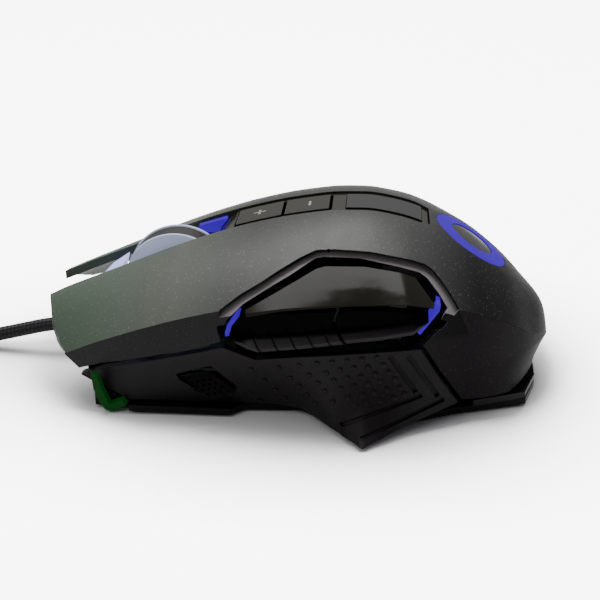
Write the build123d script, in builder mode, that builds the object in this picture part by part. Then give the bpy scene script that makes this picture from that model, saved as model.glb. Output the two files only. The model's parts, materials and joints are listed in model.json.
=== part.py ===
from build123d import *
import math
import os

os.makedirs("parts", exist_ok=True)

# ------------------------------------------------------------------
# Computer mouse, millimetres. +Z up, desk at Z = 0, the cable leaves
# towards -X, the palm end is +X, the thumb side is -Y.
# ------------------------------------------------------------------

# ---- driving dimensions ----
skin = 2.0            # wall of the outer shells
spine_half = 7.0      # half width of the slot between the two keys
hinge_x = 8.0         # living hinge of the two keys
hinge_z = 39.0
hinge_gap = 0.4
floor_z = 0.8         # underside of the base
floor_t = 1.6
pcb_z = 5.0           # underside of the main board
pcb_t = 1.6
wheel_x, wheel_z = -30.3, 21.2
wheel_r = 12.8
wheel_w = 7.4
axle_r = 1.25
pivot_x, pivot_z = -12.5, 12.0
cable_d = 3.5
coil_r_mid = 21.0      # three turns wide, four turns high
coil_r_out, coil_r_in = coil_r_mid + 1.5 * cable_d, coil_r_mid - 1.5 * cable_d
coil_z, coil_h = 1.0, 4 * cable_d
coil_c = (-113.0, 1.75 - coil_r_mid - cable_d)

# crown, plan outline and crease height of the cover along X
ZT = [(-66, 16.9), (-61, 19.2), (-55, 21.9), (-48, 24.8), (-40, 28.1), (-30, 32.3), (-20, 36.0), (-10, 39.0), (0, 41.2),
      (10, 42.5), (16, 42.6), (22, 41.8), (28, 40.2), (33, 38.2), (38, 35.8), (42, 33.4), (46, 30.6), (50, 27.4),
      (54, 23.6), (57, 20.4), (59.5, 17.2), (61, 14.8), (62, 12.6)]
YC = [(-66, 23), (-61, 24.5), (-53, 27), (-44, 29.5), (-31.6, 32), (-20, 33.5), (-10, 35), (2, 36), (13, 36), (24, 35),
      (32, 33.3), (37, 31.6), (42, 29.3), (47, 26), (51, 22.6), (55, 18.2), (58.5, 12.5), (61, 6.5), (62, 3)]
ZC = [(-66, 6.5), (-61, 9), (-53, 12.6), (-44, 17.2), (-31.6, 22.4), (-20, 26.3), (-10, 29.0), (2, 31.2), (13, 32.1),
      (24, 32.0), (32, 30.5), (37, 28.5), (42, 26.4), (47, 23.6), (51, 20.8), (55, 17.4), (58.5, 14.2), (61, 12.0), (62, 11.0)]
CROWN = [(-66, 1.7), (20, 1.7), (34, 1.75), (45, 1.9), (62, 2.0)]
FLAT = [(-66, 7.0), (10, 7.0), (28, 5.0), (36, 2.0), (45, 0.5), (62, 0.0)]


def table(t, x):
    """Smooth monotone interpolation of a table of (x, value)."""
    n = len(t)
    if x <= t[0][0]:
        return t[0][1] + (t[1][1] - t[0][1]) / (t[1][0] - t[0][0]) * (x - t[0][0])
    if x >= t[-1][0]:
        return t[-1][1] + (t[-1][1] - t[-2][1]) / (t[-1][0] - t[-2][0]) * (x - t[-1][0])
    i = 0
    while x > t[i + 1][0]:
        i += 1
    h = [t[k + 1][0] - t[k][0] for k in range(n - 1)]
    d = [(t[k + 1][1] - t[k][1]) / h[k] for k in range(n - 1)]

    def slope(k):
        if k == 0:
            return d[0]
        if k == n - 1:
            return d[-1]
        if d[k - 1] * d[k] <= 0:
            return 0.0
        w1, w2 = 2 * h[k] + h[k - 1], h[k] + 2 * h[k - 1]
        return (w1 + w2) / (w1 / d[k - 1] + w2 / d[k])

    s = (x - t[i][0]) / h[i]
    m0, m1 = slope(i) * h[i], slope(i + 1) * h[i]
    return ((2 * s**3 - 3 * s**2 + 1) * t[i][1] + (s**3 - 2 * s**2 + s) * m0
            + (-2 * s**3 + 3 * s**2) * t[i + 1][1] + (s**3 - s**2) * m1)


def lin(t, x):
    """Straight-line interpolation of a table of (x, value)."""
    if x <= t[0][0]:
        return t[0][1]
    for a, b in zip(t, t[1:]):
        if x <= b[0]:
            return a[1] + (b[1] - a[1]) * (x - a[0]) / (b[0] - a[0])
    return t[-1][1]


def top(x, y):
    """Height of the cover's outer face; straight on past the crease."""
    f, c = table(FLAT, x), max(table(YC, x), 2.0)
    zt, zc, p = table(ZT, x), table(ZC, x), table(CROWN, x)
    a = abs(y)
    if a <= f:
        return zt
    if a <= c:
        return zt - (zt - zc) * ((a - f) / (c - f)) ** p
    return zc - p * (zt - zc) / (c - f) * (a - c)


def top_face(depth):
    """The cover's outer face moved inwards along its own normal."""
    rows = []
    for i in range(34):
        x = -68.0 + 4.0 * i
        row = []
        for j in range(29):
            y = -42.0 + 3.0 * j
            zx = (top(x + 0.5, y) - top(x - 0.5, y))
            zy = (top(x, y + 0.5) - top(x, y - 0.5))
            n = math.sqrt(1 + zx * zx + zy * zy)
            row.append(Vector(x + depth * zx / n, y + depth * zy / n, top(x, y) - depth / n))
        rows.append(row)
    return Face.make_surface_from_array_of_points(rows, tol=0.01, min_deg=1, max_deg=3)


# plan outlines, one half, front to rear: at the crease and at the foot
SIDE_UP = [(-66, 23.2), (-60, 24.9), (-53, 27), (-44, 29.5), (-31.6, 32), (-20, 33.5), (-10, 35), (2, 36), (13, 36), (24, 35),
           (32, 33.3), (37, 31.6), (42, 29.3), (47, 26), (51, 22.6), (55, 18.2), (58.5, 12.4), (61, 6.4)]
SIDE_LOW = [(-66, 23.2), (-60, 24.9), (-53, 27), (-44, 29.0), (-31.6, 31), (-20, 32.8), (-10, 34), (2, 35), (13, 35), (24, 34.2),
            (32, 33.0), (37, 31.8), (42, 29.9), (47, 26.8), (51, 23.2), (54, 18.6), (56.6, 12.4), (58.0, 6.4)]


def plan_line(half, tip, inset, z):
    """Closed plan outline at one height, moved inwards by inset."""
    pts = half + [(tip, 0.0)]
    out = []
    for k, (x, y) in enumerate(half):
        a = pts[max(k - 1, 0)]
        b = pts[k + 1]
        tx, ty = b[0] - a[0], b[1] - a[1]
        n = math.hypot(tx, ty)
        out.append((x + inset * ty / n, y - inset * tx / n))
    left = [Vector(x, -y, z) for x, y in out]
    right = [Vector(x, y, z) for x, y in reversed(out)]
    curve = Edge.make_spline(left + [Vector(tip - inset, 0, z)] + right)
    back = Edge.make_line(right[-1], left[0])
    return Wire([curve, back])


def side_body(inset):
    """Upright walls down to the rear bevel, then the drawn-in foot."""
    up = Solid.extrude(Face(plan_line(SIDE_UP, 62.3, inset, 13.0)), Vector(0, 0, 36))
    mid = Solid.make_loft([plan_line(SIDE_LOW, 58.6, inset, 7.0), plan_line(SIDE_UP, 62.3, inset, 13.0)], True)
    low = Solid.extrude(Face(plan_line(SIDE_LOW, 58.6, inset, -2.0)), Vector(0, 0, 9.0))
    return Part() + up + mid + low


def below(depth):
    return Part() + Solid.extrude(top_face(depth), Vector(0, 0, -75))


def layer(outer, inner):
    """Skin between two depths under the cover's face."""
    return Part() + Solid.extrude(top_face(outer), Vector(0, 0, -1.12 * (inner - outer)))


def patch(region, outer, inner):
    """Skin between two depths under the cover's face, within a region."""
    return layer(outer, inner) & region


def side_view(points, y0, y1):
    """Prism from (x, z) points, reaching from y0 to y1."""
    w = Wire.make_polygon([Vector(x, y0, z) for x, z in points], close=True)
    return Part() + Solid.extrude(Face(w), Vector(0, y1 - y0, 0))


def plan_view(points, z0, z1):
    """Prism from (x, y) points, reaching from z0 to z1."""
    w = Wire.make_polygon([Vector(x, y, z0) for x, y in points], close=True)
    return Part() + Solid.extrude(Face(w), Vector(0, 0, z1 - z0))


# direction square to the thumb recess, pointing out of the mouse
ELEV, AZ = math.radians(23.5), math.radians(4.0)
out_dir = Vector(math.sin(AZ) * math.cos(ELEV), -math.cos(AZ) * math.cos(ELEV), math.sin(ELEV))


def recess(points, outwards=22.0, inwards=12.0):
    """Prism square to the recess through 3-D points of its rim."""
    o = Vector(8, -33, 28)
    ring = []
    for p in points:
        v = Vector(*p)
        ring.append(v - out_dir * ((v - o).dot(out_dir) + inwards))
    w = Wire.make_polygon(ring, close=True)
    return Part() + Solid.extrude(Face(w), out_dir * (outwards + inwards))


RIM = [(-15.4, -33.9, 27.8), (-11.1, -31.6, 30.6), (-6.8, -29.8, 32.8), (-2.6, -27.2, 35.0), (1.7, -24.6, 37.0),
       (5.2, -22.8, 38.2), (8.4, -22.9, 38.6), (17.3, -23.5, 38.4), (26.3, -23.5, 36.8), (29.7, -23.2, 35.7),
       (31.5, -23.8, 34.6), (33.1, -25.5, 33.2), (35.3, -28.2, 31.0), (37.3, -31.1, 28.4), (34.4, -33, 25.0),
       (30.4, -33, 21.3), (28.9, -34, 19.6), (-7.5, -36.5, 15.4), (-15.2, -34.5, 19.9), (-16.2, -34.5, 23.5)]
OPENING = [(-13.9, -33.9, 25.4), (-10.2, -33.9, 29.4), (-4.4, -31.3, 32.6), (-0.2, -29.1, 34.6), (5.3, -25.1, 37.3), (7.3, -24.8, 37.6),
           (15.2, -25.3, 37.6), (24.1, -26.2, 36.1), (28.6, -26.1, 34.9), (30.4, -27.0, 33.9), (33.0, -30.0, 31.5),
           (34.9, -32.6, 29.2), (29.4, -34, 20.4), (28.9, -34, 19.0), (-7.5, -36.5, 14.8), (-15.2, -34.5, 19.4), (-15.2, -34.5, 22.5)]
TRIM = [(-9.8, -35.3, 28.5), (-2.2, -32.0, 32.2), (2.1, -29.7, 34.2), (5.5, -27.5, 35.7), (7.5, -27.1, 36.2), (16.3, -27.2, 36.4),
        (24.1, -27.2, 35.2), (27.7, -27.7, 34.3), (29.9, -30.6, 32.3), (31.9, -33.0, 30.4), (31.7, -33.5, 29.4), (26, -35.0, 30.6),
        (13.4, -36, 30.4), (2.5, -36, 29.3), (-2, -36, 28.7), (-9.4, -35.5, 26.9)]

outer_side = side_body(0.0)
inner_side = side_body(skin)
solid_top = below(0.0)
solid_top_in = below(skin)
body_solid = solid_top & outer_side
shell = body_solid - (solid_top_in & inner_side)
step = layer(1.3, 3.0) & outer_side
rim_prism = recess(RIM)
open_prism = recess(OPENING)
shell_cut = shell - rim_prism
ledge = (step & rim_prism) - open_prism

# lower edge of the keys and of the cover, seen from the side (x, z)
KEY_LOW = [(-49.8, 9.3), (-44.6, 11.3), (-32.2, 14.8), (-20.3, 18.2), (-15.2, 20.3)]
GROOVE_R = [(-15.2, 20.3), (0, 21.6), (20, 22.2), (28.9, 22.0)]
REAR_LOW = [(28.9, 22.0), (33.7, 14.0), (39.0, 6.1), (50.3, 4.6), (57.8, 6.3), (66.0, 6.3)]
FRONT_UP = [(-53.4, 12.5), (-72, 12.5), (-72, 62)]
front_edge = [(-61.2, 7.6), (-59.8, 12.5), (-58.6, 16.6), (-56.7, 20.4), (-55.0, 23.7), (-53.2, 26.5), (-52.4, 45)]
key_rear = hinge_x - hinge_gap / 2
cover_front = hinge_x + hinge_gap / 2

key_clip_l = side_view(FRONT_UP[::-1] + KEY_LOW + [(-13.5, 22), (-9, 24), (key_rear, 26), (key_rear, 62)], -50, 0)
key_clip_r = side_view([(-72, 62), (-72, 12.5), (-53.4, 13.2), (-44, 17.6), (-36.5, 20.6), (-34.5, 14.2), (-32.2, 14.8), (-20.3, 18.2)]
                       + GROOVE_R[:1] + [(0, 21.6), (key_rear, 21.9), (key_rear, 62)], 0, 50)
cover_clip_l = side_view([(cover_front, 62), (cover_front, 22.0), (28.9, 22.0)] + REAR_LOW[1:] + [(66, 62)], -50, 0.0)
cover_clip_r = side_view([(cover_front, 62), (cover_front, 21.9), (20, 22.2), (28.9, 22.0)] + REAR_LOW[1:] + [(66, 62)], 0.0, 50)
plan_key_l = plan_view([(x, -y) for x, y in front_edge] + [(key_rear, -45), (key_rear, -spine_half), (-57.5, -spine_half)], 0, 60)
plan_key_r = plan_view(front_edge + [(key_rear, 45), (key_rear, spine_half), (-57.5, spine_half)], 0, 60)
spine_slot = plan_view([(0, -spine_half), (0, spine_half), (28.3, spine_half), (31.2, 5.6), (31.2, -5.6), (28.3, -spine_half)], 20, 60)

# tilted axis of the round light at the palm
ring_x, ring_z = 42.0, top(42.0, 0.0)
ring_tilt = math.degrees(math.atan2(-(top(45, 0) - top(39, 0)), 6.0))
ring_y = 1.0
ring_r, ring_r_in = 10.0, 5.9
ring_plane = Plane(origin=(ring_x, ring_y, ring_z), x_dir=(math.cos(math.radians(ring_tilt)), 0, -math.sin(math.radians(ring_tilt))),
                   z_dir=(math.sin(math.radians(ring_tilt)), 0, math.cos(math.radians(ring_tilt))))

NODES = []


def save(part, label):
    part.label = label
    export_step(part, "parts/" + label + ".step")
    NODES.append(label)
    solids = part.solids()
    print(label, "solids", len(solids), "volume", round(sum(s.volume for s in solids), 1), "valid", all(s.is_valid for s in solids))


def biggest(part):
    """The one large solid left after a cut."""
    return Part() + max(part.solids(), key=lambda s: s.volume)


# ---- outer shells ----
raw_left = biggest(((shell_cut + ledge) & key_clip_l & plan_key_l))
with BuildPart() as left_button:
    add(raw_left)
    with BuildSketch(Plane.XY.offset(13.95)):
        with Locations((-38, -16)):
            Rectangle(3, 4)
    extrude(amount=11.5)
save(left_button.part, "left_button")

raw_right = biggest(shell & key_clip_r & plan_key_r)
with BuildPart() as right_button:
    add(raw_right)
    with BuildSketch(Plane.XY.offset(13.95)):
        with Locations((-38, 16)):
            Rectangle(3, 4)
    extrude(amount=11.5)
save(right_button.part, "right_button")

with BuildPart() as top_cover:
    add(biggest(((shell_cut + ledge) & cover_clip_l) + (shell & cover_clip_r) - spine_slot))
    with BuildSketch(ring_plane.offset(-8)):
        Circle(ring_r + 0.1)
    extrude(amount=16, mode=Mode.SUBTRACT)
save(top_cover.part, "top_cover")

with BuildPart() as ring_light_guide:
    with BuildSketch(ring_plane.offset(-8)):
        Circle(ring_r)
        Circle(ring_r_in, mode=Mode.SUBTRACT)
    extrude(amount=16)
    add(solid_top, mode=Mode.INTERSECT)
    add(below(2.4), mode=Mode.SUBTRACT)
save(ring_light_guide.part, "ring_light_guide")

with BuildPart() as ring_cap:
    with BuildSketch(ring_plane.offset(-8)):
        Circle(ring_r_in - 0.1)
    extrude(amount=16)
    add(below(0.2), mode=Mode.INTERSECT)
    add(below(2.4), mode=Mode.SUBTRACT)
save(ring_cap.part, "ring_cap")

with BuildPart() as side_trim:
    add(patch(recess(TRIM) & side_body(0.3), 1.5, 3.2))
save(biggest(side_trim.part), "side_trim")

# ---- spine between the keys ----
spine_w = spine_half - 0.3
with BuildPart() as spine_cover:
    with BuildSketch(Plane.XY.offset(31.2)):
        Polygon((-15.9, -spine_w), (8.6, -spine_w), (8.6, spine_w), (-15.9, spine_w), align=None)
        with Locations(((-15.5 + 7.9) / 2, 0)):
            Rectangle(23.4, 10.6, mode=Mode.SUBTRACT)
    extrude(amount=12)
    with BuildSketch(Plane.XY.offset(36.4)):
        Polygon((8.6, -spine_w), (28, -spine_w), (30.9, -5.4), (30.9, 5.4), (28, spine_w), (8.6, spine_w), align=None)
        with Locations(((11.2 + 29.3) / 2, 0)):
            Rectangle(18.2, 10.2, mode=Mode.SUBTRACT)
    extrude(amount=7)
    add(below(0.5), mode=Mode.INTERSECT)
    with BuildSketch(Plane.XZ.offset(-6.6)):
        Polygon((-18.4, 29.0), (-20.0, 31.6), (-19.6, 33.2), (-18.0, 35.2), (-15.6, 36.8), (-15.6, 34.2), (-16.6, 33.2), (-17.3, 31.6), (-17.0, 29.0), align=None)
    extrude(amount=13.2)
save(spine_cover.part, "spine_cover")


def key_cap(x0, x1, switch_x, name):
    with BuildPart() as cap_part:
        add(patch(plan_view([(x0, -5.1), (x1, -5.1), (x1, 5.1), (x0, 5.1)], 10, 60), 0.15, 2.2))
        with BuildSketch(Plane.XY.offset(35.5)):
            with Locations((switch_x, 0)):
                Circle(1.9)
        extrude(amount=top(switch_x, 0) - 1.5 - 35.5)
    return cap_part.part


dpi_up = key_cap(-15.1, -4.2, -9.8, "dpi_up_button")
save(dpi_up, "dpi_up_button")
dpi_down = key_cap(-3.4, 7.2, 2.2, "dpi_down_button")
save(dpi_down, "dpi_down_button")

with BuildPart() as indicator_window:
    add(patch(plan_view([(11.3, -5.0), (11.3, 5.0), (29.2, 5.0), (29.2, -5.0)], 15, 60), 0.1, 2.2))
save(indicator_window.part, "indicator_window")

# ---- thumb side panel with its wing ----
PANEL_YT = [(-56, 25.2), (-49, 26.8), (-44.6, 28.2), (-32.2, 30.9), (-20.3, 33.0), (-15, 34.2), (-7.5, 35.8), (2.6, 36.4), (13.6, 36.4), (24.6, 35.0), (30, 34.0), (36, 32.8), (42, 31.0)]
PANEL_ZT = [(-56, 9), (-49, 10.0), (-44.6, 11.5), (-32.2, 15.0), (-20.3, 18.5), (-15, 20.2), (-7.5, 20.5), (24.6, 21.0), (42, 21.0)]
PANEL_YB = [(-56, 28.0), (-36.5, 30.2), (-10.7, 29.8), (-3, 30.0), (3.0, 31.6), (16.8, 46.0), (25.2, 39.2), (39.5, 31.2), (42, 30.4)]
PANEL_ZB = [(-56, 2.6), (-3, 2.6), (3.0, 2.4), (16.8, 0.9), (25.2, 2.4), (39.5, 6.0), (42, 6.6)]


def panel_point(x, t, wing, inset):
    yt, zt, yb, zb = lin(PANEL_YT, x), lin(PANEL_ZT, x), lin(PANEL_YB, x), lin(PANEL_ZB, x)
    # the point of the wing shows only near its lower edge
    soft = sum(lin(PANEL_YB, x + d) for d in (-7, -5, -3, -1, 1, 3, 5, 7)) / 8
    yb = soft + (yb - soft) * min(1.0, max(0.0, t)) ** 4
    if not wing:
        yb = min(yb, 30.6)
        zb = 2.6 if x < 25 else lin([(25, 2.6), (42, 6.6)], x)
    flare = max(0.0, min(1.0, (yb - 30.5) / 12.0))
    p = 1.15 + 0.9 * flare
    y = yt + (yb - yt) * t ** p - inset
    return Vector(x, -y if wing else y, zt + (zb - zt) * t)


def panel_face(wing):
    xs = [-56, -52, -48, -44, -40, -36, -32, -28, -24, -20, -16, -12, -8, -5, -2, 0, 2, 4, 6, 8, 10, 12, 14, 15.6, 16.8, 18, 20, 22, 24, 26, 28, 30, 32, 34, 36, 38, 40, 42]
    rows = [[panel_point(x, t / 8.0, wing, 0.0) for t in range(-1, 9)] for x in xs]
    return Face.make_surface_from_array_of_points(rows, tol=0.02, min_deg=1, max_deg=3)


def panel_solid(wing):
    return Part() + Solid.extrude(panel_face(wing), Vector(0, 2.2 if wing else -2.2, 0))


def stroke(a, b, width):
    """Prism of a straight groove between two (x, z) points of the panel."""
    dx, dz = b[0] - a[0], b[1] - a[1]
    n = math.hypot(dx, dz)
    nx, nz = -dz / n * width / 2, dx / n * width / 2
    return recess([(a[0] + nx, -38, a[1] + nz), (b[0] + nx, -38, b[1] + nz), (b[0] - nx, -38, b[1] - nz), (a[0] - nx, -38, a[1] - nz)])


panel_clip = side_view([(-49.6, 7.4), (-49.0, 7.7), (-44.6, 9.6), (-32.2, 13.2), (-20.3, 16.7), (-15.0, 18.6), (-7.5, 16.1), (2.6, 17.9), (13.6, 19.1),
                        (24.6, 19.6), (29.2, 19.8), (32.7, 14.0), (38.2, 5.6), (38.2, -2), (-36, -2), (-36.4, 2.2)], -60, 0)
panel_clip_r = side_view([(-49.6, 7.6), (-49.0, 8.2), (-44.6, 10.2), (-32.2, 13.8), (-20.3, 17.2), (-15.0, 19.0), (0, 20.3), (20, 20.8),
                          (28.2, 20.6), (32.7, 13.4), (38.2, 5.0), (38.2, -2), (-36, -2), (-36.4, 2.2)], 0, 60)
CHEVRONS = [((22.6, 19.6), (28.6, 10.9)), ((30.0, 10.2), (11.7, 2.4)), ((26.7, 19.7), (33.7, 9.9)), ((35.1, 9.2), (16.2, -0.5))]
groove_w = 1.15
pocket = side_view([(-26.4, 10.1), (-19.6, 12.7), (-18.0, 13.0), (-11.7, 7.0), (-13.6, 5.4), (-18.4, 3.6), (-19.6, 4.6), (-25.6, 8.6)], -60, 0)

groove_skin = Part() + Solid.extrude(panel_face(True).moved(Location((0, -0.4, 0))), Vector(0, 1.15, 0))
with BuildPart() as left_side_panel:
    add(biggest(panel_solid(True) & panel_clip))
    add(pocket, mode=Mode.SUBTRACT)
    # two grip chevrons
    for a, b in CHEVRONS:
        add(groove_skin & stroke(a, b, groove_w), mode=Mode.SUBTRACT)

with BuildPart() as right_side_panel:
    add(biggest(panel_solid(False) & panel_clip_r))
save(right_side_panel.part, "right_side_panel")

# perforated grille in the opening of the side panel, leaning in towards its upper edge
lean = math.radians(17)
grille_outline = [(-26.7, 4.3), (-19.5, 5.7), (-18.35, 5.35), (-12.5, 1.45), (-14.6, 0.3), (-18.05, -0.85), (-20.15, 0.25), (-26.0, 3.45)]
hole_spots = [(-23.1 + 1.44 * i + 1.33 * j, 3.02 + 0.336 * i - 0.85 * j) for i in range(4) for j in range(4)]
grille_plane = Plane(origin=(0, -30.6, 4.4), x_dir=(1, 0, 0), z_dir=(0, -math.cos(lean), math.sin(lean)))
with BuildPart() as grille_seat:
    with BuildSketch(grille_plane.offset(0.6)):
        Polygon(*grille_outline, align=None)
    extrude(amount=-1.55)
save(biggest(left_side_panel.part - grille_seat.part), "left_side_panel")
with BuildPart() as grille:
    with BuildSketch(grille_plane):
        Polygon(*grille_outline, align=None)
        with Locations(*hole_spots):
            Circle(0.29, mode=Mode.SUBTRACT)
    extrude(amount=-0.9)
save(grille.part, "side_grille")

# ---- thumb buttons ----
def lip(stations, name):
    wires = []
    for x, y, zb, zl, zt in stations:
        ring = [(-y, zb), (-(y + 0.15), zb + 0.9), (-(y - 2.6), zl), (-(y - 2.9), zt), (-(y - 5.5), zt), (-(y - 5.5), zb)]
        wires.append(Wire.make_polygon([Vector(x, a, b) for a, b in ring], close=True))
    return Part() + Solid.make_loft(wires, True)


def lip_skin(stations, depth):
    """Space in front of a lip's sloping face moved inwards by depth."""
    wires = []
    for x, y, zb, zl, zt in stations:
        wires.append(Wire.make_polygon([Vector(x, a, b) for a, b in
                     [(-(y + 0.15 - depth), zb - 3.0), (-(y + 0.15 - depth), zb + 0.9 - 0.6 * depth), (-(y - 2.6 - 0.5 * depth), zl - 0.9 * depth), (-(y - 2.6 - 0.5 * depth), zl + 1.2), (-(y + 5), zl + 1.2), (-(y + 5), zb - 3.0)]], close=True))
    return Part() + Solid.make_loft(wires, True)


lip_skin_front = lip_skin([(-9.5, 35.4, 19.2, 21.6, 25.9), (-7.0, 36.0, 18.7, 22.0, 26.6), (2.6, 36.6, 20.1, 23.2, 27.4), (11.9, 36.6, 21.6, 24.6, 28.5)], 0.55)
SPLIT = [(11.4, 31.0), (9.8, 24.9), (13.9, 20.0)]
split_w = 0.8
front_lip = lip([(-12.8, 34.6, 20.6, 21.4, 25.6), (-9.5, 35.4, 19.2, 21.6, 25.9), (-7.0, 36.0, 18.7, 22.0, 26.6), (2.6, 36.6, 20.1, 23.2, 27.4), (14.6, 36.6, 22.0, 24.8, 28.5)], "front")
rear_lip = lip([(9.0, 36.6, 21.3, 24.2, 28.2), (20.0, 36.2, 22.6, 25.0, 28.4), (27.4, 35.2, 23.7, 25.6, 27.6), (30.6, 34.2, 26.4, 27.0, 27.4)], "rear")
with BuildPart() as side_button_front:
    add(front_lip - side_view([(-16, 20.0), (-13.2, 20.0), (-12.9, 23.0), (-10.4, 26.6), (-9.0, 28.6), (-16, 28.6)], -40, -24))
    add(side_view([(x - split_w / 2, z) for x, z in SPLIT] + [(25, 20.0), (25, 31.0)], -42, -24), mode=Mode.SUBTRACT)
    # slanted grip grooves
    for gx in (-8.6, -4.6, -0.6, 3.3, 7.0):
        zg = 21.0 + 0.155 * (gx + 7)
        add(side_view([(gx - 1.6, zg + 3.4), (gx - 1.0, zg + 3.4), (gx + 3.4, zg - 3.0), (gx + 2.8, zg - 3.0)], -42, -30) & lip_skin_front, mode=Mode.SUBTRACT)
    with BuildSketch(Plane.XZ.offset(26.6)):
        with Locations((-1.0, 24.0)):
            Rectangle(3.0, 3.0)
    extrude(amount=5.0)
save(biggest(side_button_front.part), "side_button_front")
with BuildPart() as side_button_rear:
    add(rear_lip)
    add(side_view([(x + split_w / 2, z) for x, z in SPLIT] + [(0, 20.0), (0, 31.0)], -42, -24), mode=Mode.SUBTRACT)
    with BuildSketch(Plane.XZ.offset(26.6)):
        with Locations((19.0, 25.5)):
            Rectangle(3.0, 3.0)
    extrude(amount=5.0)
save(biggest(side_button_rear.part), "side_button_rear")

# blue light guides at both ends of the recess
with BuildPart() as side_light_front:
    with BuildSketch(Plane.XZ.offset(29.0)):
        Polygon((-14.5, 22.2), (-14.5, 21.0), (-13.6, 21.3), (-13.2, 23.3), (-11.2, 26.1), (-11.7, 26.5), align=None)
    extrude(amount=4.2)
save(side_light_front.part, "side_light_front")
with BuildPart() as side_light_rear:
    with BuildSketch(Plane.XZ.offset(27.0)):
        Polygon((32.2, 29.8), (33.2, 29.4), (33.0, 28.2), (31.1, 25.4), (29.0, 22.4), (28.4, 22.8), (30.8, 26.2), (32.4, 28.8), align=None)
    extrude(amount=5.2)
save(side_light_rear.part, "side_light_rear")

# ---- base, bumpers, feet ----
BASE = [(-48.6, -20), (-46.6, -27.6), (-46.0, -29.7), (-37.9, -29.7), (-37.6, -32.4), (-13.9, -32.6), (-10.8, -29.6), (2, -29.0), (15.8, -40.5), (24.5, -35.2), (37.5, -28.4),
        (54.6, -22.4), (57.6, -13), (58.2, 0), (57.6, 13), (54.6, 22.4), (44, 28.6), (38, 29.6), (-10.8, 29.6), (-13.9, 32.6), (-37.6, 32.4), (-37.9, 29.7), (-46.0, 29.7), (-46.6, 27.6), (-48.6, 20)]
with BuildPart() as base:
    with BuildSketch(Plane.XY.offset(floor_z)):
        Polygon(*BASE, align=None)
    extrude(amount=floor_t - 0.1)
    # standing walls
    with BuildSketch(Plane.XY.offset(floor_z + floor_t - 0.1)):
        with Locations((-47.2, 0)):
            Rectangle(1.8, 38)
        with Locations((53.4, 0)):
            Rectangle(1.8, 24)
    extrude(amount=3.6)
    # board bosses
    with BuildSketch(Plane.XY.offset(floor_z + floor_t - 0.1)):
        with Locations((-43.0, -20.0), (-43.0, 20.0), (24.0, -18.0), (24.0, 18.0)):
            Circle(2.6)
    extrude(amount=pcb_z - floor_z - floor_t + 0.1)
    # pivot posts of the wheel carrier
    with BuildSketch(Plane.XY.offset(floor_z + floor_t - 0.1)):
        with Locations((pivot_x, -9.4), (pivot_x, 9.4)):
            Rectangle(5.0, 2.4)
    extrude(amount=12.6)
    with BuildSketch(Plane.XZ.offset(-12)):
        with Locations((pivot_x, pivot_z)):
            Circle(1.05)
    extrude(amount=24, mode=Mode.SUBTRACT)
    # sensor window and cable mouth
    with BuildSketch(Plane.XY.offset(-1)):
        Rectangle(10, 7)
    extrude(amount=6, mode=Mode.SUBTRACT)
    with BuildSketch(Plane.YZ.offset(-52)):
        with Locations((0, 6.7)):
            Rectangle(7.4, 5.0)
    extrude(amount=8, mode=Mode.SUBTRACT)
    # four screw holes
    with BuildSketch(Plane.XY.offset(-1)):
        with Locations((-36, -26), (-36, 26), (40, -20), (40, 20)):
            Circle(1.2)
    extrude(amount=6, mode=Mode.SUBTRACT)
save(base.part, "base")

with BuildPart() as case_screws:
    with BuildSketch(Plane.XY.offset(floor_z)):
        with Locations((-36, -26), (-36, 26), (40, -20), (40, 20)):
            Circle(1.15)
    extrude(amount=7)
save(case_screws.part, "case_screws")

with BuildPart() as feet:
    with BuildSketch(Plane.XY):
        RectangleRounded(26, 20, 5)
        RectangleRounded(15, 12, 3, mode=Mode.SUBTRACT)
        with Locations((-44, 0)):
            RectangleRounded(7, 30, 3)
        with Locations((50, 0)):
            RectangleRounded(7, 30, 3)
        with Locations((15.0, -33.0)):
            RectangleRounded(10, 4, 1.9)
    extrude(amount=floor_z)
save(feet.part, "feet")

def bumper(points, z0, z1, name):
    with BuildPart() as b:
        with BuildSketch(Plane.XY.offset(z0)):
            Polygon(*points, align=None)
        extrude(amount=z1 - z0)
    return b.part


def both_sides(points, y0, y1):
    """The same prism of (x, z) points on the thumb side and mirrored on the far side."""
    return side_view(points, -y1, -y0) + side_view(points, y0, y1)


# black corner blocks under the front of the side panels
front_bumper = both_sides([(-46.0, 2.4), (-38.0, 2.4), (-46.0, 5.6)], 26.0, 29.6)
save(front_bumper, "front_bumper")

# bent light bands round the front corners
band = [(-46.0, 9.9), (-45.6, 6.2), (-44.5, 2.8), (-43.1, 0.75), (-41.4, 0.5), (-38.2, 2.1), (-39.1, 3.5), (-42.1, 2.1), (-43.6, 5.8), (-44.6, 9.3)]
save(both_sides(band, 30.0, 32.2), "front_light_strip")

rear_bumper = bumper([(42.0, -27.4), (54.4, -22.3), (57.5, -13), (58.1, 0), (57.5, 13), (54.4, 22.3), (42, 27.4), (42, 25.6), (53.2, 20.8), (55.9, 12.5), (56.4, 0), (55.9, -12.5), (53.2, -20.8), (42, -25.6)], 2.3, 3.9, "rear_bumper")
save(rear_bumper, "rear_bumper")

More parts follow.
